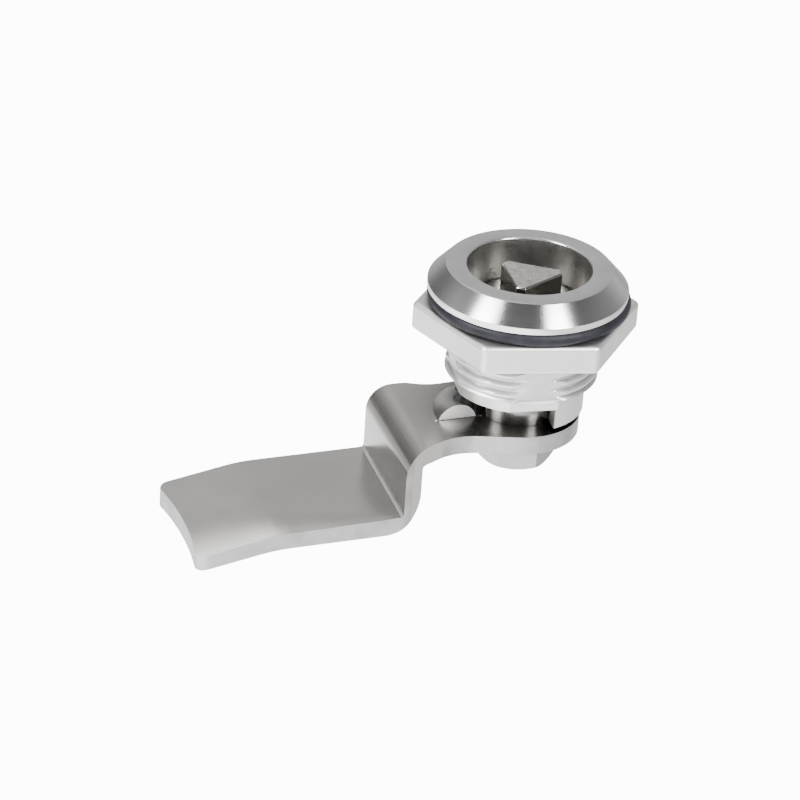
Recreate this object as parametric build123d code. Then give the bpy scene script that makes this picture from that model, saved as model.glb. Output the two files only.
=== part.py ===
from build123d import *
import os
from math import acos, asin, atan2, cos, degrees, hypot, radians, sin, sqrt, tan

# Triangle lock, a quarter-turn cam latch. Millimetres, +Z out of the front of the panel.
# The origin is the centre of the flange's underside, where the lock sits on the panel.
# The barrel's flats are square to X and Y. Heights below the flange's underside are negative.

# Barrel, which the flange, the nut and the recess are made to fit
BARREL_DIAMETER = 21.9
FLAT_DEPTH = 0.75
THREAD_DEPTH = 12.6
RECESS_WALL = 2.1
LEDGE_DEPTH = 6.0

# Flange
FLANGE_OVERHANG = 3.3
FLANGE_HEIGHT = 3.6
RIM_HEIGHT = 0.95
CONE_RUN = 2.45
MOUTH_BEVEL = 0.2

# End collar and stop skirt
COLLAR_LENGTH = 1.8
COLLAR_DRAFT = 0.5
SKIRT_SETBACK = 1.65
SKIRT_DEPTH = 18.2
SKIRT_BEVEL = 0.35
STOP_FACE_X = 3.1
STOP_FACE_Y = 3.9

# Ring seal and mounting nut
SEAL_THICKNESS = 2.0
SEAL_BORE_GAP = 1.6
SEAL_BEVEL_SHARE = 0.3
SEAL_OVERHANG = 0.45
NUT_WALL = 3.15
NUT_THICKNESS = 4.2
NUT_TURN = -4.9
NUT_CORNER_ROUND = 1.0
NUT_EDGE_BEVEL = 0.35
NUT_BORE_BEVEL = 0.5

# Spindle
KEY_FLAT = 2.95
KEY_CORNER = 4.8
KEY_HEIGHT = 5.05
KEY_BEVEL = 0.2
KEY_TURN = -5.0
SHOULDER_THICKNESS = 3.3
SHOULDER_BEVEL = 0.2
SHAFT_DIAMETER = 12.4
SQUARE_SIZE = 8.0
SQUARE_SHORTFALL = 0.3
GROOVE_DEPTH = 1.3
GROOVE_WIDTH = 2.3
GROOVE_DROP = 2.2

# Cam. Lengths along the arm count from the lock's axis. Left and right are as seen from the hub.
# The corners of waist and flare are given as they are before rounding.
ARM_TURN = 7.5
CAM_THICKNESS = 2.75
HUB_OFFSET = 0.5
HUB_OVERHANG = 0.1
WAIST_LEFT = 6.3
WAIST_LEFT_PLACE = 11.8
FLARE_LEFT_END = 19.9
WAIST_RIGHT = 8.65
WAIST_RIGHT_PLACE = 10.6
FLARE_RIGHT_END = 13.7
WAIST_ROUND = 8.0
FLARE_ROUND = 4.0
BLADE_WIDTH = 20.5
FOLD_SKEW = 2.6
CRANK_FACE = 19.8
CRANK_DROP = 9.9
CREST_ROUND = 3.6
HEEL_ROUND = 5.5
CREASE_ROUND = 0.5
CAM_REACH = 50.6
TIP_HOLLOW = 0.9
TIP_ROUND = 1.5
DROOP_START = 38.7
DROOP_ANGLE = 10.0
DROOP_ROUND = 25.0

# Pressed stop bump on the cam
BUMP_OFFSET = 0.7
BUMP_TUBE = 2.9
BUMP_ENGAGEMENT = 1.4
BUMP_FACE_OFFSET = 1.55
BUMP_TILT = 13.4

# Washer and screw
SCREW_DIAMETER = 6.0
SCREW_REACH = 10.0
TAPPED_SPARE = 2.0
HEAD_ACROSS_FLATS = 10.0
HEAD_HEIGHT = 3.85
HEAD_TURN = -9.8
HEAD_BEVEL_INSET = 0.25
HEAD_BEVEL_ANGLE = 30.0
WASHER_DIAMETER = 14.2
WASHER_THICKNESS = 1.35

# Clearances
RUNNING_GAP = 0.06
FIT_GAP = 0.05
CAM_PLAY = 0.6
WASHER_GAP = 0.2

# Sizes that follow from those above
across_flats = BARREL_DIAMETER - 2 * FLAT_DEPTH
recess_diameter = BARREL_DIAMETER - 2 * RECESS_WALL
flange_radius = BARREL_DIAMETER / 2 + FLANGE_OVERHANG
skirt_diameter = BARREL_DIAMETER - 2 * SKIRT_SETBACK
shoulder_diameter = recess_diameter - 2 * RUNNING_GAP
shaft_bore_diameter = SHAFT_DIAMETER + 2 * RUNNING_GAP
nut_across_flats = BARREL_DIAMETER + 2 * NUT_WALL
nut_bore_diameter = BARREL_DIAMETER + 2 * RUNNING_GAP
hub_diameter = skirt_diameter + 2 * HUB_OVERHANG
bump_radius = skirt_diameter / 2 + BUMP_OFFSET
bump_height = CAM_PLAY + BUMP_ENGAGEMENT
arm_azimuth = 180 + ARM_TURN

# Heights that follow
recess_floor = SHOULDER_THICKNESS - LEDGE_DEPTH
collar_bottom = -THREAD_DEPTH - COLLAR_LENGTH
nut_top = -SEAL_THICKNESS - FIT_GAP
groove_top = -LEDGE_DEPTH - GROOVE_DROP
cam_top = -SKIRT_DEPTH - CAM_PLAY
cam_underside = cam_top - CAM_THICKNESS
head_seat = cam_underside - WASHER_THICKNESS


def turned(*outline):
    """The solid that an outline of (radius, height) points sweeps round the lock's axis."""
    return revolve(make_face(Polyline(*[(r, 0, z) for r, z in outline], close=True)), Axis.Z)


def disc(diameter, top, bottom):
    """A plain cylinder on the lock's axis between two heights."""
    upwards = (Align.CENTER, Align.CENTER, Align.MIN)
    return Pos(0, 0, bottom) * Cylinder(diameter / 2, top - bottom, align=upwards)


def flatted_circle(diameter, across_flats, height):
    """The barrel's section: a circle with four flats square to X and Y."""
    return Pos(0, 0, height) * (Circle(diameter / 2) & Rectangle(across_flats, across_flats))


def rounded(outline, point, radius):
    """The flat outline with the corner at the point rounded."""
    corner = outline.vertices().sort_by_distance(Vector(*point))[0]
    return fillet(corner, radius)


def housing():
    flange = turned(
        (0, 0),
        (flange_radius, 0),
        (flange_radius, RIM_HEIGHT),
        (flange_radius - CONE_RUN, FLANGE_HEIGHT),
        (0, FLANGE_HEIGHT),
    )
    barrel = extrude(flatted_circle(BARREL_DIAMETER, across_flats, 0), -THREAD_DEPTH)
    collar = loft([
        flatted_circle(BARREL_DIAMETER, across_flats, -THREAD_DEPTH),
        flatted_circle(BARREL_DIAMETER - 2 * COLLAR_DRAFT, across_flats - 2 * COLLAR_DRAFT, collar_bottom),
    ])
    skirt = disc(skirt_diameter, -THREAD_DEPTH, -SKIRT_DEPTH)
    skirt = chamfer(skirt.edges().sort_by(Axis.Z)[0], SKIRT_BEVEL)
    window = Pos(STOP_FACE_X - BARREL_DIAMETER, STOP_FACE_Y - BARREL_DIAMETER, -SKIRT_DEPTH) * Box(
        2 * BARREL_DIAMETER, 2 * BARREL_DIAMETER, 2 * (SKIRT_DEPTH - THREAD_DEPTH)
    )
    recess = disc(recess_diameter, FLANGE_HEIGHT, -LEDGE_DEPTH)
    shaft_bore = disc(shaft_bore_diameter, 0, -SKIRT_DEPTH)
    body = flange + barrel + (collar & window) + (skirt - window) - recess - shaft_bore
    mouth = body.edges().filter_by(GeomType.CIRCLE).group_by(Axis.Z)[-1].sort_by(SortBy.RADIUS)[0]
    return chamfer(mouth, MOUTH_BEVEL)


def panel_seal():
    outer = flange_radius + SEAL_OVERHANG
    inner = BARREL_DIAMETER / 2 + SEAL_BORE_GAP
    bevel = SEAL_THICKNESS * SEAL_BEVEL_SHARE
    return turned(
        (outer - bevel, 0),
        (outer, -bevel),
        (outer, bevel - SEAL_THICKNESS),
        (outer - bevel, -SEAL_THICKNESS),
        (inner, -SEAL_THICKNESS),
        (inner, 0),
    )


def mounting_nut():
    hexagon = RegularPolygon(nut_across_flats / 2, 6, major_radius=False, rotation=NUT_TURN)
    block = Pos(0, 0, nut_top) * extrude(hexagon, -NUT_THICKNESS)
    block = fillet(block.edges().filter_by(Axis.Z), NUT_CORNER_ROUND)
    block = chamfer(block.faces().filter_by(Axis.Z).edges(), NUT_EDGE_BEVEL)
    nut = block - disc(nut_bore_diameter, nut_top, nut_top - NUT_THICKNESS)
    bore = nut.faces().filter_by(GeomType.CYLINDER).sort_by(Axis.Z).sort_by(SortBy.AREA)[-1]
    return chamfer(bore.edges().filter_by(GeomType.CIRCLE), NUT_BORE_BEVEL)


def spindle():
    triangle = RegularPolygon(KEY_FLAT, 3, major_radius=False, rotation=180 + KEY_TURN)
    post = Pos(0, 0, recess_floor) * extrude(triangle & Circle(KEY_CORNER), KEY_HEIGHT)
    post = chamfer(post.faces().sort_by(Axis.Z)[-1].edges(), KEY_BEVEL)
    shoulder = disc(shoulder_diameter, recess_floor, -LEDGE_DEPTH)
    shoulder = chamfer(shoulder.edges().sort_by(Axis.Z)[-1], SHOULDER_BEVEL)
    shaft = disc(SHAFT_DIAMETER, -LEDGE_DEPTH, cam_top)
    groove = disc(SHAFT_DIAMETER, groove_top, groove_top - GROOVE_WIDTH) - disc(
        SHAFT_DIAMETER - 2 * GROOVE_DEPTH, groove_top, groove_top - GROOVE_WIDTH
    )
    square_end = cam_underside + SQUARE_SHORTFALL
    square = Pos(0, 0, cam_top) * extrude(Rectangle(SQUARE_SIZE, SQUARE_SIZE), square_end - cam_top)
    tapped = disc(SCREW_DIAMETER + 2 * FIT_GAP, head_seat + SCREW_REACH + TAPPED_SPARE, square_end)
    return Rot(0, 0, arm_azimuth) * (post + shoulder + shaft - groove + square - tapped)


def spindle_seal():
    inner = SHAFT_DIAMETER / 2 - GROOVE_DEPTH + FIT_GAP / 2
    outer = SHAFT_DIAMETER / 2 + RUNNING_GAP / 2
    top = groove_top - FIT_GAP
    bottom = top - GROOVE_WIDTH + 2 * FIT_GAP
    bevel = (outer - inner) / 3
    return turned(
        (inner + bevel, top),
        (outer - bevel, top),
        (outer, top - bevel),
        (outer, bottom + bevel),
        (outer - bevel, bottom),
        (inner + bevel, bottom),
        (inner, bottom + bevel),
        (inner, top - bevel),
    )


def cam_side():
    """The cranked strip seen from the side, along the arm and in height, cut at no end."""
    past_ends = hub_diameter
    blade_top = cam_top - CRANK_DROP
    blade_underside = blade_top - CAM_THICKNESS
    droop = tan(radians(DROOP_ANGLE))
    far = CAM_REACH + past_ends
    underside_bend = DROOP_START - CAM_THICKNESS * tan(radians(DROOP_ANGLE / 2))
    outline = make_face(Polyline(
        (-past_ends, cam_top),
        (CRANK_FACE, cam_top),
        (CRANK_FACE, blade_top),
        (DROOP_START, blade_top),
        (far, blade_top - (far - DROOP_START) * droop),
        (far, blade_underside - (far - underside_bend) * droop),
        (underside_bend, blade_underside),
        (CRANK_FACE - CAM_THICKNESS, blade_underside),
        (CRANK_FACE - CAM_THICKNESS, cam_underside),
        (-past_ends, cam_underside),
        close=True,
    ))
    for corner, radius in (
        ((CRANK_FACE, cam_top), CREST_ROUND),
        ((CRANK_FACE, blade_top), CREASE_ROUND),
        ((DROOP_START, blade_top), DROOP_ROUND),
        ((underside_bend, blade_underside), DROOP_ROUND + CAM_THICKNESS),
        ((CRANK_FACE - CAM_THICKNESS, blade_underside), HEEL_ROUND),
        ((CRANK_FACE - CAM_THICKNESS, cam_underside), CREASE_ROUND),
    ):
        outline = rounded(outline, corner, radius)
    return outline


def touch_point(x, y):
    """Where a straight edge from the point (x, y), with y above 0, touches the hub's circle."""
    hub = hub_diameter / 2
    angle = atan2(y, x - HUB_OFFSET) + acos(hub / hypot(x - HUB_OFFSET, y))
    return HUB_OFFSET + hub * cos(angle), hub * sin(angle)


def cam_plan():
    """The strip's outline seen from above: round hub, waist, flare and blade with a hollow tip."""
    blade = BLADE_WIDTH / 2
    left = [(WAIST_LEFT_PLACE, WAIST_LEFT), (FLARE_LEFT_END, blade)]
    right = [(WAIST_RIGHT_PLACE, WAIST_RIGHT), (FLARE_RIGHT_END, blade)]
    left_touch = touch_point(*left[0])
    right_touch = touch_point(*right[0])
    left_side = Polyline(left_touch, *left, (CAM_REACH, blade))
    right_side = mirror(Polyline(right_touch, *right, (CAM_REACH, blade)), Plane.XZ)
    hub_end = ThreePointArc(
        left_touch, (HUB_OFFSET - hub_diameter / 2, 0), (right_touch[0], -right_touch[1])
    )
    tip = ThreePointArc((CAM_REACH, blade), (CAM_REACH - TIP_HOLLOW, 0), (CAM_REACH, -blade))
    outline = make_face(Curve() + [hub_end, left_side, tip, right_side])
    for side_sign, (waist, flare) in ((1, left), (-1, right)):
        outline = rounded(outline, (waist[0], side_sign * waist[1]), WAIST_ROUND)
        outline = rounded(outline, (flare[0], side_sign * flare[1]), FLARE_ROUND)
        outline = rounded(outline, (CAM_REACH, side_sign * blade), TIP_ROUND)
    return outline


def bump_ring(sheet_face):
    """A leaning ring: proud of the sheet's face beside the stop face, and sunk under it further back."""
    face_angle = degrees(asin(BUMP_FACE_OFFSET / bump_radius))
    ring_height = sheet_face + bump_height - BUMP_TUBE
    ring = Rot(0, 0, face_angle) * Rot(BUMP_TILT, 0, 0) * Torus(bump_radius, BUMP_TUBE)
    return Pos(0, 0, ring_height) * ring


def stop_side(bottom, top):
    """The block on the bump's side of the stop face, between two heights."""
    return Pos(0, BUMP_FACE_OFFSET, bottom) * Box(
        2 * bump_radius, 2 * bump_radius, top - bottom, align=(Align.MIN, Align.MAX, Align.MIN)
    )


def cam():
    lowest = cam_underside - CRANK_DROP - CAM_REACH
    plan = extrude(cam_plan(), lowest)
    strip = Rot(0, 0, -FOLD_SKEW) * extrude(Plane.XZ * cam_side(), BLADE_WIDTH, both=True) & plan
    middle_of_sheet = cam_top - CAM_THICKNESS / 2
    bump = bump_ring(cam_top) & stop_side(middle_of_sheet, cam_top + BUMP_TUBE) & plan
    pocket = bump_ring(cam_underside) & stop_side(lowest, cam_top)
    hole_size = SQUARE_SIZE + 2 * FIT_GAP
    square_hole = Pos(0, 0, cam_underside) * extrude(Rectangle(hole_size, hole_size), CAM_THICKNESS)
    return Rot(0, 0, arm_azimuth) * (strip + bump - pocket - square_hole)


def cam_washer():
    washer = disc(WASHER_DIAMETER, cam_underside, head_seat)
    return washer - disc(SCREW_DIAMETER + 2 * WASHER_GAP, cam_underside, head_seat)


def cam_screw():
    hexagon = RegularPolygon(HEAD_ACROSS_FLATS / 2, 6, major_radius=False, rotation=HEAD_TURN)
    head = Pos(0, 0, head_seat) * extrude(hexagon, -HEAD_HEIGHT)
    flat_radius = HEAD_ACROSS_FLATS / 2 - HEAD_BEVEL_INSET
    corner_radius = HEAD_ACROSS_FLATS / sqrt(3)
    bevel_drop = (corner_radius - flat_radius) * tan(radians(HEAD_BEVEL_ANGLE))
    head_end = head_seat - HEAD_HEIGHT
    bevel = turned(
        (0, head_end),
        (flat_radius, head_end),
        (corner_radius, head_end + bevel_drop),
        (corner_radius, head_seat),
        (0, head_seat),
    )
    shank = disc(SCREW_DIAMETER, head_seat + SCREW_REACH, head_seat)
    return (head & bevel) + shank


PARTS = {
    "housing": housing,
    "panel_seal": panel_seal,
    "mounting_nut": mounting_nut,
    "spindle": spindle,
    "spindle_seal": spindle_seal,
    "cam": cam,
    "cam_washer": cam_washer,
    "cam_screw": cam_screw,
}

os.makedirs("parts", exist_ok=True)
for name, make in PARTS.items():
    export_step(make(), f"parts/{name}.step")
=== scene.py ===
from math import acos, ceil, cos, pi, radians, sin, tan

import bmesh
import bpy
from mathutils import Matrix, Vector


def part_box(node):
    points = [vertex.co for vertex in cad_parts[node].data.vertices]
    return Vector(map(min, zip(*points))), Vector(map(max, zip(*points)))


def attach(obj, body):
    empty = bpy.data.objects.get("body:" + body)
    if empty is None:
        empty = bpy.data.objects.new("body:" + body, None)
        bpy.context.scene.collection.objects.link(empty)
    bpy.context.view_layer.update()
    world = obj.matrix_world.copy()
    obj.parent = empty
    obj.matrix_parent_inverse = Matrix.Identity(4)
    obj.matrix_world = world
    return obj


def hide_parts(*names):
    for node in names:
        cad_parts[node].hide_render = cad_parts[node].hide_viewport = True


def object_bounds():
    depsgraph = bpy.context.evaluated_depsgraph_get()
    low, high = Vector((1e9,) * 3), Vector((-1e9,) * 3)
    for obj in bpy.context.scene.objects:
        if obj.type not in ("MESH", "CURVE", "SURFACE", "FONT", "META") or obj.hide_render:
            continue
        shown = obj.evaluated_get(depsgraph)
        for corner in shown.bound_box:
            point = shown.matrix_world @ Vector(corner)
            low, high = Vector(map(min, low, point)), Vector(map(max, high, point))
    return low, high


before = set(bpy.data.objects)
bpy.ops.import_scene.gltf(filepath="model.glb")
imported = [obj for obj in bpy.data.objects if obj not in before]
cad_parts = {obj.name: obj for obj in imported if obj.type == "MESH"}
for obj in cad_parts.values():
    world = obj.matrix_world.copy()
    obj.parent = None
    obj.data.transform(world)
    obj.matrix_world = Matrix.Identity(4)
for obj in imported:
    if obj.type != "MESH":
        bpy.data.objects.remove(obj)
cad_low, cad_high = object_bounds()

MM = 0.001

# The photo's camera, fitted to the flange, the barrel and the nut. Pixels are the photo's 800 x 800.
PHOTO_SIZE_PX = 800
FOCAL_LENGTH_PX = 3500.0
ORIGIN_PX = (527.8, 288.4)
CAMERA_DISTANCE = 0.4929
CAMERA_AZIMUTH = radians(-13.8)
CAMERA_ELEVATION = radians(28.68)
CAMERA_ROLL = radians(3.93)
CAMERA_SEES_FROM = 0.02
CAMERA_SEES_TO = 20.0
SENSOR_WIDTH_MM = 36.0

# Sizes of the housing, as in the CAD part
FLANGE_R = 14.25 * MM
FLANGE_TOP = 3.6 * MM
RIM_TOP = 0.95 * MM
FACE_R = 11.8 * MM
RECESS_R = 8.85 * MM
LEDGE_Z = -6.0 * MM
BORE_R = 6.26 * MM
BARREL_R = 10.95 * MM
FLAT_DISTANCE = 10.2 * MM
BARREL_END = -12.6 * MM
THREAD_START = -0.8 * MM

# Roundings of the turned edges, from the recess outwards and down
RECESS_ROUNDING = 0.22 * MM
FACE_ROUNDING = 0.25 * MM
RIM_ROUNDING = 0.12 * MM
UNDERSIDE_ROUNDING = 0.1 * MM

# Material slots of the threaded housing, and how near to an edge one gives way to the next
CONE, RECESS, BARREL, RIM, FACE = range(5)
SLOT_MARGIN = 0.01 * MM
RIM_INSET = 0.1 * MM
RIM_BOTTOM = 0.02 * MM
FACE_INSET = 0.05 * MM
RECESS_INSET = 0.3 * MM

# M22 x 1.5 thread. One groove bottom passes through the given azimuth and height.
THREAD_PITCH = 1.5 * MM
THREAD_DEPTH = 0.6 * MM
THREAD_BOTTOM = 0.44 * MM
THREAD_FLANK = radians(30)
THREAD_RUN_OUT = 0.7 * MM
THREAD_ROWS_PER_TURN = 14
GROOVE_AZIMUTH = radians(248.2)
GROOVE_HEIGHT = -9.45 * MM
COLUMNS_IN_FLAT = 22
COLUMNS_IN_THREAD = 26

# The collar reaches this far into the threaded body, so that no gap shows between them.
COLLAR_OVERLAP = 0.004 * MM

# The seal sits a little off centre on the barrel, towards the camera's right.
SEAL_SHIFT = 0.25 * MM
SEAL_WIDTH = 2.0 * MM
SEAL_ROUNDNESS = 0.49
SEAL_COLUMNS = 144

# The cam's blade, as in the CAD part. Lengths along the arm count from the lock's axis.
ARM_AZIMUTH = radians(187.5)
ALONG_AXIS = Vector((cos(ARM_AZIMUTH), sin(ARM_AZIMUTH), 0))
ACROSS_AXIS = Vector((-sin(ARM_AZIMUTH), cos(ARM_AZIMUTH), 0))
BLADE_HALF_WIDTH = 10.25 * MM
CRANK_START = 14 * MM
CRANK_FACE = 19.8 * MM
CRANK_END = 22 * MM
CAM_REACH = 50.6 * MM
CAM_TOP = -18.8 * MM
BLADE_TOP = -28.7 * MM
CAM_THICKNESS = 2.75 * MM
FOLD_SKEW = radians(2.6)
TIP_FOLD = 38.7 * MM
TIP_DROOP = radians(10)

# Material slots of the cam. The crease is the narrow line where the crank meets the blade; it and the rounded
# edges get a much lighter steel, a painted highlight.
SHEET, SHEARED, TORN, EDGE_HIGHLIGHT = range(4)
CREASE_WIDTH = 0.35 * MM
CREASE_START = 0.05 * MM
EDGE_INSET = 0.4 * MM
LEVEL_MARGIN = 0.1 * MM
# The Z of a face's normal: of a level face, of any face of the sheet, and in the crease
LEVEL_NORMAL = 0.99
SHEET_NORMAL = 0.3
CREASE_NORMALS = (0.05, 0.995)

# The roll-over that the blanking press leaves along the blade's near edge. It grows towards the tip.
ROLL_WIDTH_MM = 2.0
ROLL_WIDENING_MM = 6.0
ROLL_DEPTH_MM = 0.12
ROLL_DEEPENING_MM = 0.4
ROLL_START = 4 * MM
BLADE_START = CRANK_FACE + 0.6 * MM
CUTS_BY_THE_EDGE = [BLADE_HALF_WIDTH - inset * MM for inset in (0.9, 1.6, 2.4, 3.4, 4.6, 6.0, 7.6, 9.4)]
CUTS_ALONG_THE_ARM = [(21.5 + 1.9 * i) * MM for i in range(15)]

# The slit at the foot of the stop bump, beside the bump's torn face
LANCE_PLACE = 1.55 * MM
LANCE_START = 6.2 * MM
LANCE_END = 13.4 * MM
SLIT_WIDTH = 0.3 * MM
SLIT_END = 0.5 * MM
SLIT_DEPTH = 0.4 * MM
# Where the sheet is cut across the slit, as shares of its width
SLIT_SHARES = (0.05, 0.5, 1.0)

# The key triangle's top, which has its own brush marks: its least height and how level it is
KEY_TOP_FROM = 2 * MM
KEY_TOP_NORMAL = 0.9

# How far the press, the tumbling or the blasting rounded each piece's edges
END_ROUNDING = 0.18 * MM
NUT_ROUNDING = 0.22 * MM
SPINDLE_ROUNDING = 0.12 * MM
SPINDLE_SEAL_ROUNDING = 0.1 * MM
CAM_ROUNDING = 0.3 * MM
WASHER_ROUNDING = 0.08 * MM
SCREW_ROUNDING = 0.15 * MM
ROUNDING_STEPS = 3
ROUNDED_FROM = radians(25)

# Edges that turn by more than these degrees stay sharp in the shading.
HOUSING_SHARP_FROM = 28
SEAL_SHARP_FROM = 40
SHARP_FROM = 25

# How near two numbers have to be to count as the same place, for cuts, for the barrel and for merging,
# and by how much a flat face of the CAD mesh may bend
TOUCH = 1e-6
NEAR = 1e-7
FLAT_WITHIN = radians(0.5)

# Painted shade in gaps: the openness that counts as closed, the height of the fade, and the number of rays
GAP_CLOSED = 0.3
GAP_FADE_MM = 3.0
GAP_RAYS = 8

# The lathe's rings, and the quarter turn that draws reflections out across them
RING_SCALE = 9.0
RING_DEPTH_MM = 0.002
ACROSS_THE_RINGS = 0.25

RUBBER_SHEEN = 0.22
RUBBER_GRAIN_MM = 0.01

# The sum of two noises runs over this range.
TWO_NOISES = (0.7, 1.3)

# Studio: a white floor, a light table in the same place that only the reflections see, a dim sky that is
# lighter near the horizon, soft round cards in that sky, and two soft lights.
FLOOR_DROP = 0.09
FLOOR_SIZE = 3.0
FLOOR_GLOW = 12.0
FLOOR_GREY = 0.3
FLOOR_ROUGHNESS = 0.9
TABLE_GLOW = 2.5
TABLE_LIFT = 0.001
# The table grows dimmer along an azimuth, from the start to the end, down to the share.
TABLE_FADES = (
    (0, -0.01, 0.13, 0.2),
    (90, 0.0, 0.1, 0.75),
    (141, 0.17, 0.3, 0.15),
)
# Height in the sky, as the direction's Z, and brightness
SKY_STEPS = ((0.0, 0.9), (0.17, 0.85), (0.47, 0.72), (0.6, 0.38), (0.72, 0.25), (1.0, 0.25))
# Azimuth, elevation, inner and outer radius in degrees, and brightness of each card: a dark one where the
# crest of the crank looks, a light one where the blade's near edge looks, a dark one over the camera, between
# the bright bands on the flange's cone, two dim ones on the right, and a light one below the camera.
SKY_CARDS = (
    (-127, 6, 3, 36, 0.14),
    (-160, 60, 4, 20, 4.5),
    (-6, 62, 16, 42, 0.04),
    (85, 42, 15, 45, 0.12),
    (100, 5, 15, 45, 0.35),
    (-5, 8, 6, 22, 2.5),
)
LIGHT_ELEVATION = 38
LIGHT_DISTANCE = 0.75
LIGHT_POWER = 11
LIGHTS = (
    ("left_light", -57, (0.26, 0.5)),
    ("right_light", 43, (0.24, 0.5)),
)


def make_object(name, data):
    obj = bpy.data.objects.new(name, data)
    bpy.context.scene.collection.objects.link(obj)
    return obj


def aimed(azimuth, elevation):
    """A turn that makes a camera or a light at this azimuth and elevation face the part."""
    return Matrix.Rotation(azimuth, 3, "Z") @ Matrix.Rotation(pi / 2 - elevation, 3, "X")


def camera():
    """The camera at the photo's viewpoint, in the photo's framing."""
    turn = aimed(CAMERA_AZIMUTH, CAMERA_ELEVATION) @ Matrix.Rotation(CAMERA_ROLL, 3, "Z")
    middle = PHOTO_SIZE_PX / 2
    origin_seen = Vector((
        (ORIGIN_PX[0] - middle) / FOCAL_LENGTH_PX,
        -(ORIGIN_PX[1] - middle) / FOCAL_LENGTH_PX,
        -1.0,
    )) * CAMERA_DISTANCE
    data = bpy.data.cameras.new("photo_camera")
    data.sensor_width = SENSOR_WIDTH_MM
    data.lens = SENSOR_WIDTH_MM * FOCAL_LENGTH_PX / PHOTO_SIZE_PX
    data.clip_start = CAMERA_SEES_FROM
    data.clip_end = CAMERA_SEES_TO
    obj = make_object("photo_camera", data)
    obj.matrix_world = Matrix.Translation(-(turn @ origin_seen)) @ turn.to_4x4()
    bpy.context.scene.camera = obj


def softbox(name, azimuth, size):
    """A rectangular light that faces the part. Azimuth counts from the camera's own, as seen from above."""
    turn = aimed(CAMERA_AZIMUTH + radians(azimuth), radians(LIGHT_ELEVATION))
    data = bpy.data.lights.new(name, "AREA")
    data.shape = "RECTANGLE"
    data.size, data.size_y = size
    data.energy = LIGHT_POWER
    obj = make_object(name, data)
    obj.matrix_world = Matrix.Translation(turn @ Vector((0, 0, LIGHT_DISTANCE))) @ turn.to_4x4()


def principled(name):
    """A new material, its node tree and its shader."""
    material = bpy.data.materials.new(name)
    material.use_nodes = True
    return material, material.node_tree, material.node_tree.nodes["Principled BSDF"]


def add_node(tree, kind, inputs=None, **settings):
    """A node with its settings. An input may be a value, or another node's socket."""
    node = tree.nodes.new(kind)
    for key, value in settings.items():
        setattr(node, key, value)
    for key, value in (inputs or {}).items():
        if isinstance(value, bpy.types.NodeSocket):
            tree.links.new(value, node.inputs[key])
        else:
            node.inputs[key].default_value = value
    return node


def position_mm(tree):
    """The place on the piece in millimetres, in the part's frame at rest."""
    coordinates = add_node(tree, "ShaderNodeTexCoord").outputs["Object"]
    scaled = add_node(tree, "ShaderNodeVectorMath", {0: coordinates, 1: (1000, 1000, 1000)},
                      operation="MULTIPLY")
    return scaled.outputs[0]


def lathe_coordinates(tree, place):
    """The distance from the lock's axis and the height, for marks that a lathe leaves."""
    parts = add_node(tree, "ShaderNodeSeparateXYZ", {0: place})
    flat = add_node(tree, "ShaderNodeCombineXYZ", {0: parts.outputs[0], 1: parts.outputs[1]})
    radius = add_node(tree, "ShaderNodeVectorMath", {0: flat.outputs[0]}, operation="LENGTH")
    out = add_node(tree, "ShaderNodeCombineXYZ", {0: radius.outputs["Value"], 1: parts.outputs[2]})
    return out.outputs[0]


def noise(tree, vector, scale, detail=3.0, roughness=0.55):
    inputs = {"Vector": vector, "Scale": scale, "Detail": detail, "Roughness": roughness}
    return add_node(tree, "ShaderNodeTexNoise", inputs).outputs["Fac"]


def spread(tree, value, low, high, from_low=0.3, from_high=0.7):
    """The value, stretched from its own range to the range low to high."""
    inputs = {"Value": value, "From Min": from_low, "From Max": from_high, "To Min": low, "To Max": high}
    return add_node(tree, "ShaderNodeMapRange", inputs).outputs[0]


def mix_colours(tree, factor, first, second):
    """The first colour where the factor is 0, the second where it is 1. The first may be a socket."""
    if not isinstance(first, bpy.types.NodeSocket):
        first = (*first, 1)
    inputs = {"Factor": factor, "A": first, "B": (*second, 1)}
    return add_node(tree, "ShaderNodeMix", inputs, data_type="RGBA").outputs["Result"]


def bump(tree, height, depth_mm):
    inputs = {"Height": height, "Distance": depth_mm * MM, "Strength": 1.0}
    return add_node(tree, "ShaderNodeBump", inputs).outputs[0]


def painted_gap_shade(tree, colour, place, reach, darkest, open_from, from_height):
    """Painted shade: the colour, darker where other surfaces stand close, as shade falls in deep gaps between
    metal parts.
    The painted shade starts at from_height, in mm, and fades in above it."""
    occlusion = add_node(tree, "ShaderNodeAmbientOcclusion", {"Distance": reach}, samples=GAP_RAYS)
    dimming = spread(tree, occlusion.outputs["AO"], darkest, 1.0, GAP_CLOSED, open_from)
    height = add_node(tree, "ShaderNodeSeparateXYZ", {0: place}).outputs[2]
    share = spread(tree, height, 0, 1, from_height, from_height + GAP_FADE_MM)
    mixed = add_node(tree, "ShaderNodeMix", {"Factor": share, "A": 1.0, "B": dimming}).outputs["Result"]
    dim = add_node(tree, "ShaderNodeCombineXYZ", {0: mixed, 1: mixed, 2: mixed}).outputs[0]
    return add_node(tree, "ShaderNodeVectorMath", {0: colour, 1: dim}, operation="MULTIPLY").outputs[0]


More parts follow.
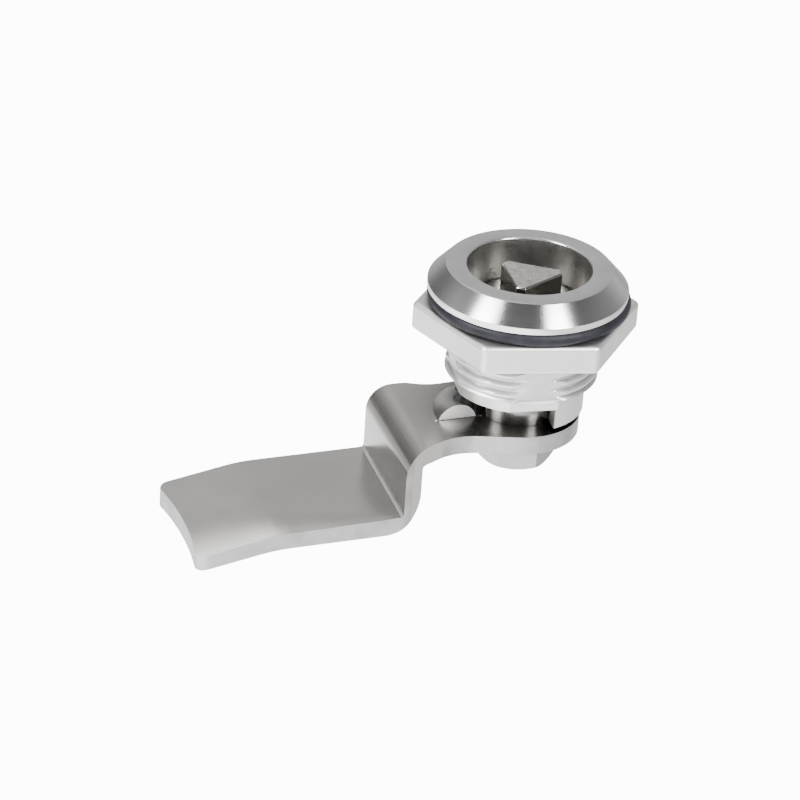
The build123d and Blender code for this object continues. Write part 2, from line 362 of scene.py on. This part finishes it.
def metal(name, dark, light, rough, grain=6.0, blotch=0.35, depth=0.01, stretch=(1, 1, 1),
          reach=4 * MM, darkest=0.35, open_from=0.9, shade_from=-60.0):
    """Bare metal with blotches in its colour and gloss, and a fine grain that may be stretched into brush
    marks. rough gives the lowest and the highest roughness, depth the grain's depth in mm. Its colour carries
    painted shade where other surfaces stand close: reach, darkest, open_from and shade_from set it."""
    material, tree, shader = principled(name)
    place = position_mm(tree)
    drawn = add_node(tree, "ShaderNodeVectorMath", {0: place, 1: stretch}, operation="MULTIPLY").outputs[0]
    fine = noise(tree, drawn, grain, detail=4.0, roughness=0.7)
    broad = noise(tree, place, blotch, detail=2.0)
    blotched = mix_colours(tree, spread(tree, broad, 0, 1), dark, light)
    shaded = painted_gap_shade(tree, blotched, place, reach, darkest, open_from, shade_from)
    both = add_node(tree, "ShaderNodeMath", {0: fine, 1: broad}, operation="ADD").outputs[0]
    shader.inputs["Metallic"].default_value = 1.0
    tree.links.new(shaded, shader.inputs["Base Color"])
    tree.links.new(spread(tree, both, *rough, *TWO_NOISES), shader.inputs["Roughness"])
    tree.links.new(bump(tree, fine, depth), shader.inputs["Normal"])
    return material


def turned_steel(name, dark, light, rough, anisotropy):
    """Steel faced on a lathe: fine rings round the axis, which draw its reflections out across them."""
    material, tree, shader = principled(name)
    lathe = lathe_coordinates(tree, position_mm(tree))
    rings = noise(tree, lathe, RING_SCALE, detail=5.0, roughness=0.75)
    tangent = add_node(tree, "ShaderNodeTangent", direction_type="RADIAL", axis="Z").outputs[0]
    shader.inputs["Metallic"].default_value = 1.0
    shader.inputs["Anisotropic"].default_value = anisotropy
    shader.inputs["Anisotropic Rotation"].default_value = ACROSS_THE_RINGS
    tree.links.new(tangent, shader.inputs["Tangent"])
    tree.links.new(mix_colours(tree, spread(tree, rings, 0, 1), dark, light), shader.inputs["Base Color"])
    tree.links.new(spread(tree, rings, *rough), shader.inputs["Roughness"])
    tree.links.new(bump(tree, rings, RING_DEPTH_MM), shader.inputs["Normal"])
    return material


def rubber(name, dark, light, rough):
    """Moulded rubber with a fine grain and faint blotches."""
    material, tree, shader = principled(name)
    place = position_mm(tree)
    fine = noise(tree, place, 5.0, detail=4.0, roughness=0.6)
    broad = noise(tree, place, 0.5, detail=2.0)
    shader.inputs["Specular IOR Level"].default_value = RUBBER_SHEEN
    tree.links.new(mix_colours(tree, spread(tree, broad, 0, 1), dark, light), shader.inputs["Base Color"])
    tree.links.new(spread(tree, fine, *rough), shader.inputs["Roughness"])
    tree.links.new(bump(tree, fine, RUBBER_GRAIN_MM), shader.inputs["Normal"])
    return material


def finished_mesh(bm, name):
    mesh = bpy.data.meshes.new(name)
    bm.to_mesh(mesh)
    bm.free()
    return mesh


def rounded_section(corners, steps=4):
    """The points of a closed outline of (radius, height, rounding) corners. Each rounding is an arc."""
    points = []
    count = len(corners)
    for i, (r, z, rounding) in enumerate(corners):
        here = Vector((r, z))
        if rounding == 0:
            points.append(here)
            continue
        before = (Vector(corners[i - 1][:2]) - here).normalized()
        after = (Vector(corners[(i + 1) % count][:2]) - here).normalized()
        half = acos(max(-1.0, min(1.0, before.dot(after)))) / 2
        centre = here + (before + after).normalized() * (rounding / sin(half))
        first = here + before * (rounding / tan(half)) - centre
        last = here + after * (rounding / tan(half)) - centre
        sweep = first.angle_signed(last)
        for step in range(steps + 1):
            turn = Matrix.Rotation(-sweep * step / steps, 2)
            points.append(centre + turn @ first)
    return points


def lathe_mesh(name, section, angles, radius_at=None):
    """A closed section turned round the lock's axis. radius_at may change a point's radius by its angle."""
    bm = bmesh.new()
    rings = []
    for angle in angles:
        ring = []
        for point in section:
            r = radius_at(point.x, point.y, angle) if radius_at else point.x
            ring.append(bm.verts.new((r * cos(angle), r * sin(angle), point.y)))
        rings.append(ring)
    for i, ring in enumerate(rings):
        following = rings[(i + 1) % len(rings)]
        for j in range(len(ring)):
            k = (j + 1) % len(ring)
            bm.faces.new((ring[j], following[j], following[k], ring[k]))
    bmesh.ops.recalc_face_normals(bm, faces=bm.faces)
    return finished_mesh(bm, name)


def smooth_by_angle(mesh, degrees):
    """Smooth shading, with every edge sharp that turns by more than these degrees."""
    mesh.polygons.foreach_set("use_smooth", [True] * len(mesh.polygons))
    mesh.set_sharp_from_angle(angle=radians(degrees))
    return mesh


def cad_bmesh(node):
    """A CAD node's mesh with its flat faces whole again, ready for cuts and rounding."""
    bm = bmesh.new()
    bm.from_mesh(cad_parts[node].data)
    bmesh.ops.remove_doubles(bm, verts=bm.verts, dist=NEAR)
    bmesh.ops.dissolve_limit(bm, angle_limit=FLAT_WITHIN, verts=bm.verts, edges=bm.edges)
    bm.normal_update()
    return bm


def soften(obj, width):
    """Rounds the piece's sharp edges, as tumbling or blasting does."""
    bevel = obj.modifiers.new("rounding", "BEVEL")
    bevel.width = width
    bevel.segments = ROUNDING_STEPS
    bevel.limit_method = "ANGLE"
    bevel.angle_limit = ROUNDED_FROM
    bevel.harden_normals = True
    weighted = obj.modifiers.new("normals", "WEIGHTED_NORMAL")
    weighted.keep_sharp = True
    return obj


def dress(obj, materials, body, slot, *nodes):
    """Finishes a piece: its materials, the body that it rides on, and the CAD nodes that it stands for."""
    indices = [face.material_index for face in obj.data.polygons]
    obj.data.materials.clear()
    for material in materials:
        obj.data.materials.append(material)
    obj.data.polygons.foreach_set("material_index", indices)
    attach(obj, body)
    if nodes:
        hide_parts(*nodes)
    return obj


def softened_node(node, width, materials, body, slot, finish_of=None):
    """A CAD node's copy with rounded edges. finish_of may give a face's material slot."""
    name = node + "_rounded"
    mesh = smooth_by_angle(finished_mesh(cad_bmesh(node), name), SHARP_FROM)
    if finish_of:
        for face in mesh.polygons:
            face.material_index = finish_of(face.center, face.normal)
    obj = soften(make_object(name, mesh), width)
    return dress(obj, materials, body, slot, node)


def smooth_step(value):
    value = max(0.0, min(1.0, value))
    return value * value * (3 - 2 * value)


def flat_limit(angle):
    """How far from the axis the four flats let the barrel reach at an angle."""
    return FLAT_DISTANCE / max(abs(cos(angle)), abs(sin(angle)))


def thread_radius(z, angle):
    """The barrel's radius with the thread's grooves, a right-handed helix."""
    turns = (z - GROOVE_HEIGHT) / THREAD_PITCH - (angle - GROOVE_AZIMUTH) / (2 * pi)
    from_groove = abs(turns - round(turns)) * THREAD_PITCH
    cut = min(THREAD_DEPTH, THREAD_DEPTH - (from_groove - THREAD_BOTTOM / 2) / tan(THREAD_FLANK))
    run_out = smooth_step((z - BARREL_END) / THREAD_RUN_OUT)
    return BARREL_R - max(0.0, cut) * run_out


def barrel_radius(r, z, angle):
    """Changes only the barrel's outside: its thread and its flats."""
    if r < BARREL_R - NEAR or z > THREAD_START + NEAR or z < BARREL_END:
        return r
    return min(thread_radius(z, angle), flat_limit(angle))


def column_angles():
    """Angles round the barrel, with a column on each edge of each flat."""
    half = acos(FLAT_DISTANCE / BARREL_R)
    gap = pi / 2 - 2 * half
    angles = []
    for quarter in range(4):
        start = quarter * pi / 2 - half
        angles += [start + 2 * half * i / COLUMNS_IN_FLAT for i in range(COLUMNS_IN_FLAT)]
        angles += [start + 2 * half + gap * i / COLUMNS_IN_THREAD for i in range(COLUMNS_IN_THREAD)]
    return angles


def housing_finish(r, z):
    """The material slot of a face of the threaded housing, by its radius and height."""
    if r < RECESS_R + SLOT_MARGIN and z < FLANGE_TOP - RECESS_INSET:
        return RECESS
    if r > FLANGE_R - RIM_INSET and z > RIM_BOTTOM:
        return RIM
    if z > FLANGE_TOP - FACE_INSET:
        return FACE
    return CONE if z > -SLOT_MARGIN else BARREL


def housing_body():
    """Flange, recess and threaded barrel down to the collar."""
    rows = ceil((THREAD_START - BARREL_END) / (THREAD_PITCH / THREAD_ROWS_PER_TURN))
    step = (THREAD_START - BARREL_END) / rows
    barrel = [Vector((BARREL_R, THREAD_START - i * step)) for i in range(rows + 1)]
    top = rounded_section([
        (BORE_R, BARREL_END, 0),
        (BORE_R, LEDGE_Z, 0),
        (RECESS_R, LEDGE_Z, 0),
        (RECESS_R, FLANGE_TOP, RECESS_ROUNDING),
        (FACE_R, FLANGE_TOP, FACE_ROUNDING),
        (FLANGE_R, RIM_TOP, RIM_ROUNDING),
        (FLANGE_R, 0, UNDERSIDE_ROUNDING),
        (BARREL_R, 0, 0),
    ])
    section = top + barrel
    mesh = lathe_mesh("housing_body", section, column_angles(), barrel_radius)
    for i, face in enumerate(mesh.polygons):
        middle = (section[i % len(section)] + section[(i + 1) % len(section)]) / 2
        face.material_index = housing_finish(middle.x, middle.y)
    return smooth_by_angle(mesh, HOUSING_SHARP_FROM)


def housing_end():
    """The collar and the stop skirt, cut from the CAD housing below the thread."""
    bm = cad_bmesh("housing")
    everything = bm.verts[:] + bm.edges[:] + bm.faces[:]
    cut = bmesh.ops.bisect_plane(bm, geom=everything, plane_co=(0, 0, BARREL_END + COLLAR_OVERLAP),
                                 plane_no=(0, 0, 1), clear_outer=True)
    rim = [edge for edge in cut["geom_cut"] if isinstance(edge, bmesh.types.BMEdge)]
    bmesh.ops.triangle_fill(bm, edges=rim, use_beauty=True)
    bmesh.ops.recalc_face_normals(bm, faces=bm.faces)
    return smooth_by_angle(finished_mesh(bm, "housing_end"), HOUSING_SHARP_FROM)


def seal_mesh():
    """The ring seal, round in section and squeezed a little flat between flange and nut."""
    low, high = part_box("panel_seal")
    outer = high.x - SEAL_SHIFT
    inner = outer - SEAL_WIDTH
    rounding = SEAL_ROUNDNESS * (high.z - low.z)
    section = rounded_section([
        (inner, low.z, rounding),
        (inner, high.z, rounding),
        (outer, high.z, rounding),
        (outer, low.z, rounding),
    ], steps=9)
    mesh = lathe_mesh("panel_seal", section, [2 * pi * i / SEAL_COLUMNS for i in range(SEAL_COLUMNS)])
    shift = Matrix.Rotation(CAMERA_AZIMUTH, 3, "Z") @ Vector((SEAL_SHIFT, 0, 0))
    mesh.transform(Matrix.Translation(shift))
    return smooth_by_angle(mesh, SEAL_SHARP_FROM)


def arm_place(point):
    """A point's place along the arm and across it, with across positive on the camera's side."""
    along = point.x * cos(ARM_AZIMUTH) + point.y * sin(ARM_AZIMUTH)
    across = -point.x * sin(ARM_AZIMUTH) + point.y * cos(ARM_AZIMUTH)
    return along, across


def cut_faces(bm, faces, normal, distance):
    """Cuts these faces along a plane, so that their new edges can be moved. Each part is named once."""
    parts = dict.fromkeys(faces)
    for face in faces:
        parts.update(dict.fromkeys(face.edges))
        parts.update(dict.fromkeys(face.verts))
    bmesh.ops.bisect_plane(bm, geom=list(parts), plane_co=normal * distance, plane_no=normal)


def cut_blade(bm):
    """Divides the blade's upper face where its near edge rolls over."""
    cuts = [(ACROSS_AXIS, place) for place in CUTS_BY_THE_EDGE]
    cuts += [(ALONG_AXIS, place) for place in CUTS_ALONG_THE_ARM]
    for normal, distance in cuts:
        blade = [face for face in bm.faces if face.calc_center_median().dot(ALONG_AXIS) > BLADE_START]
        cut_faces(bm, blade, normal, distance)


def roll_over(along, across):
    """How far the blanking press drew the blade's upper face down towards its near edge and its tip."""
    share = smooth_step((along - CRANK_FACE) / (CAM_REACH - CRANK_FACE))
    width = (ROLL_WIDTH_MM + ROLL_WIDENING_MM * share) * MM
    depth = (ROLL_DEPTH_MM + ROLL_DEEPENING_MM * share) * MM
    inside = (across - (BLADE_HALF_WIDTH - width)) / width
    return depth * max(0.0, inside) ** 2 * smooth_step((along - CRANK_FACE) / ROLL_START)


def roll_edge(bm):
    """Lowers the upper face along the blade's near edge."""
    for vert in bm.verts:
        along, across = arm_place(vert.co)
        droop = max(0.0, along - TIP_FOLD) * tan(TIP_DROOP)
        if along > CRANK_FACE and vert.co.z > BLADE_TOP - droop - CAM_THICKNESS / 2:
            vert.co.z -= roll_over(along, across)


def cut_slit(bm):
    """The slit along the foot of the stop bump, where the press cut the sheet before it raised it."""
    ends = (LANCE_START, LANCE_START + SLIT_END, LANCE_END - SLIT_END, LANCE_END)
    cuts = [(ALONG_AXIS, place) for place in ends]
    cuts += [(ACROSS_AXIS, LANCE_PLACE + SLIT_WIDTH * share) for share in SLIT_SHARES]
    for normal, distance in cuts:
        top = [face for face in bm.faces
               if face.normal.z > LEVEL_NORMAL and abs(face.calc_center_median().z - CAM_TOP) < TOUCH]
        cut_faces(bm, top, normal, distance)
    for vert in bm.verts:
        along, across = arm_place(vert.co)
        in_line = abs(across - LANCE_PLACE - SLIT_WIDTH / 2) < TOUCH and abs(vert.co.z - CAM_TOP) < TOUCH
        if in_line and LANCE_START + SLIT_END / 2 < along < LANCE_END - SLIT_END / 2:
            vert.co.z -= SLIT_DEPTH


def cam_finish(centre, normal):
    """The material slot of a face of the cam, by its centre and normal."""
    along, across = arm_place(centre)
    from_crank = along - across * tan(FOLD_SKEW) - CRANK_FACE
    by_crank = -CREASE_START < from_crank < CREASE_WIDTH
    in_crease = by_crank and abs(centre.z - BLADE_TOP) < CREASE_WIDTH
    if in_crease and CREASE_NORMALS[0] < normal.z < CREASE_NORMALS[1]:
        return EDGE_HIGHLIGHT
    if abs(normal.z) > SHEET_NORMAL:
        return SHEET
    if centre.z > CAM_TOP - LEVEL_MARGIN:
        return TORN
    on_crank = CRANK_START < along < CRANK_END and abs(across) < BLADE_HALF_WIDTH - EDGE_INSET
    return SHEET if on_crank else SHEARED


def cam_mesh():
    """The cam with the marks of the press: the rolled edge of the blade and the slit at the bump."""
    bm = cad_bmesh("cam")
    cut_blade(bm)
    cut_slit(bm)
    roll_edge(bm)
    mesh = finished_mesh(bm, "cam_rounded")
    for face in mesh.polygons:
        face.material_index = cam_finish(face.center, face.normal)
    return smooth_by_angle(mesh, SHARP_FROM)


def studio_plane(name, glow):
    corners = [(-FLOOR_SIZE, -FLOOR_SIZE, 0), (FLOOR_SIZE, -FLOOR_SIZE, 0),
               (FLOOR_SIZE, FLOOR_SIZE, 0), (-FLOOR_SIZE, FLOOR_SIZE, 0)]
    mesh = bpy.data.meshes.new(name)
    mesh.from_pydata(corners, [], [(0, 1, 2, 3)])
    plane = make_object(name, mesh)
    plane.location.z = cad_low[2] - FLOOR_DROP
    paint, tree, shader = principled(name)
    shader.inputs["Base Color"].default_value = (FLOOR_GREY, FLOOR_GREY, FLOOR_GREY, 1)
    shader.inputs["Roughness"].default_value = FLOOR_ROUGHNESS
    shader.inputs["Emission Color"].default_value = (1.0, 1.0, 1.0, 1)
    shader.inputs["Emission Strength"].default_value = glow
    plane.data.materials.append(paint)
    return plane


def white_floor():
    """The floor that only the camera sees."""
    floor = studio_plane("studio_floor", FLOOR_GLOW)
    floor.visible_glossy = False
    floor.visible_diffuse = False


def light_table():
    """The table that only the reflections see, dimmer in some directions."""
    table = studio_plane("studio_light_table", TABLE_GLOW)
    table.location.z += TABLE_LIFT
    table.visible_camera = False
    tree = table.data.materials[0].node_tree
    place = add_node(tree, "ShaderNodeTexCoord").outputs["Object"]
    glow = TABLE_GLOW
    for azimuth, start, end, share in TABLE_FADES:
        turn = CAMERA_AZIMUTH + radians(azimuth)
        reach = add_node(tree, "ShaderNodeVectorMath", {0: place, 1: (cos(turn), sin(turn), 0)},
                         operation="DOT_PRODUCT").outputs["Value"]
        dimmer = spread(tree, reach, 1.0, share, start, end)
        glow = add_node(tree, "ShaderNodeMath", {0: glow, 1: dimmer}, operation="MULTIPLY").outputs[0]
    tree.links.new(glow, tree.nodes["Principled BSDF"].inputs["Emission Strength"])


def sky_card(tree, direction, sky, azimuth, elevation, inner, outer, value):
    """The sky with one soft round card of another brightness. Azimuth counts as for the lights."""
    turn = CAMERA_AZIMUTH - pi / 2 + radians(azimuth)
    rise = radians(elevation)
    towards = (cos(turn) * cos(rise), sin(turn) * cos(rise), sin(rise))
    closeness = add_node(tree, "ShaderNodeVectorMath", {0: direction, 1: towards},
                         operation="DOT_PRODUCT").outputs["Value"]
    share = spread(tree, closeness, 0, 1, cos(radians(outer)), cos(radians(inner)))
    return mix_colours(tree, share, sky, (value, value, value))


def studio_sky():
    world = bpy.data.worlds.new("studio")
    world.use_nodes = True
    tree = world.node_tree
    direction = add_node(tree, "ShaderNodeTexCoord").outputs["Generated"]
    height = add_node(tree, "ShaderNodeSeparateXYZ", {0: direction}).outputs[2]
    ramp = add_node(tree, "ShaderNodeValToRGB", {0: height})
    while len(ramp.color_ramp.elements) < len(SKY_STEPS):
        ramp.color_ramp.elements.new(0.5)
    for element, (place, value) in zip(ramp.color_ramp.elements, SKY_STEPS):
        element.position = place
        element.color = (value, value, value, 1)
    sky = ramp.outputs[0]
    for card in SKY_CARDS:
        sky = sky_card(tree, direction, sky, *card)
    tree.links.new(sky, tree.nodes["Background"].inputs[0])
    bpy.context.scene.world = world


camera()
white_floor()
light_table()
studio_sky()
for name, azimuth, size in LIGHTS:
    softbox(name, azimuth, size)

# Each steel made with metal() below has painted shade in its gaps, as dark as its darkest allows.
flange_steel = turned_steel("turned_steel", (0.56, 0.56, 0.565), (0.62, 0.62, 0.625), (0.22, 0.27), 0.9)
faced_steel = metal("faced_steel", (0.56, 0.56, 0.56), (0.60, 0.60, 0.60), (0.3, 0.36),
                    grain=6.0, depth=0.003, darkest=0.9)
# The flange's rim: polished, and lighter than the rest of the flange as a painted highlight.
rim_highlight_steel = metal("polished_rim_highlight", (0.9, 0.9, 0.9), (0.93, 0.93, 0.93), (0.12, 0.16),
                  grain=5.0, depth=0.001, darkest=0.8)
# Inside the recess: bored steel with lengthwise grain, darker than the flange as painted shade in the recess.
recess_shade_steel = metal("bored_steel_painted_shade", (0.36, 0.355, 0.342), (0.41, 0.405, 0.392), (0.27, 0.31),
                     grain=5.0, depth=0.001, stretch=(0.1, 0.1, 1), darkest=0.8)
# Painted shade over a short reach: it darkens the thread's grooves and the corners where the collar meets
# other pieces.
cast_steel = metal("blasted_steel", (0.76, 0.76, 0.75), (0.82, 0.82, 0.81), (0.36, 0.44),
                   grain=7.0, depth=0.006, reach=1.3 * MM, darkest=0.35, open_from=0.97)
nut_steel = metal("nut_steel", (0.80, 0.80, 0.79), (0.86, 0.86, 0.85), (0.38, 0.46),
                  grain=7.0, depth=0.006, darkest=0.6)
spindle_steel = metal("spindle_steel", (0.42, 0.41, 0.39), (0.46, 0.45, 0.43), (0.16, 0.2),
                      grain=5.0, depth=0.001, darkest=0.3)
key_steel = metal("key_steel", (0.50, 0.49, 0.47), (0.72, 0.71, 0.69), (0.24, 0.32),
                  grain=4.0, blotch=0.9, depth=0.002, stretch=(1, 0.15, 1))
# Strong painted shade out to 14 mm above -25 mm: the darkness round the hub stands in for shade and for the
# dark reflection of the housing's underside.
cam_steel = metal("cam_steel", (0.565, 0.550, 0.535), (0.60, 0.585, 0.570), (0.23, 0.27),
                  grain=7.0, blotch=0.08, depth=0.0015, reach=14 * MM, darkest=0.06, open_from=0.85,
                  shade_from=-25.0)
# A painted highlight: much lighter than the cam's sheet, on the crease and on every rounded edge of the cam.
edge_highlight_steel = metal("edge_highlight_steel", (0.90, 0.89, 0.88), (0.95, 0.94, 0.93), (0.34, 0.42),
                        grain=4.0, depth=0.002, darkest=0.9)
sheared_steel = metal("sheared_steel", (0.40, 0.40, 0.395), (0.52, 0.52, 0.515), (0.32, 0.42),
                      grain=3.0, depth=0.008, stretch=(1, 1, 0.15))
# The bump's torn face: rough as torn steel is, and lighter than the sheet as a painted highlight.
torn_highlight_steel = metal("torn_highlight_steel", (0.93, 0.92, 0.90), (0.99, 0.98, 0.96), (0.5, 0.7),
                   grain=3.0, depth=0.07, darkest=0.95)
screw_steel = metal("screw_steel", (0.38, 0.38, 0.385), (0.44, 0.44, 0.445), (0.12, 0.16),
                    grain=4.0, depth=0.002)
seal_rubber = rubber("black_rubber", (0.010, 0.010, 0.014), (0.018, 0.018, 0.024), (0.42, 0.56))

# In the order of the slots' numbers
housing_steels = [flange_steel, recess_shade_steel, cast_steel, rim_highlight_steel, faced_steel]
cam_steels = [cam_steel, sheared_steel, torn_highlight_steel, edge_highlight_steel]

threaded = make_object("housing_threaded", housing_body())
dress(threaded, housing_steels, "lock_housing", "housing_metal", "housing")
end_piece = soften(make_object("housing_end", housing_end()), END_ROUNDING)
dress(end_piece, [cast_steel], "lock_housing", "housing_metal", "housing")
ring = make_object("panel_seal_ring", seal_mesh())
dress(ring, [seal_rubber], "lock_housing", "black_rubber", "panel_seal")
softened_node("mounting_nut", NUT_ROUNDING, [nut_steel], "clamp_nut", "nut_metal")
softened_node("spindle", SPINDLE_ROUNDING, [spindle_steel, key_steel], "turning_cam", "spindle_steel",
              lambda centre, normal: 1 if centre.z > KEY_TOP_FROM and normal.z > KEY_TOP_NORMAL else 0)
softened_node("spindle_seal", SPINDLE_SEAL_ROUNDING, [seal_rubber], "turning_cam", "black_rubber")
cam = soften(make_object("cam_rounded", cam_mesh()), CAM_ROUNDING)
# The rounded edges take the lighter steel, a painted highlight along each edge.
cam.modifiers["rounding"].material = EDGE_HIGHLIGHT
dress(cam, cam_steels, "turning_cam", "cam_steel", "cam")
softened_node("cam_washer", WASHER_ROUNDING, [screw_steel], "turning_cam", "screw_steel")
softened_node("cam_screw", SCREW_ROUNDING, [screw_steel], "turning_cam", "screw_steel")
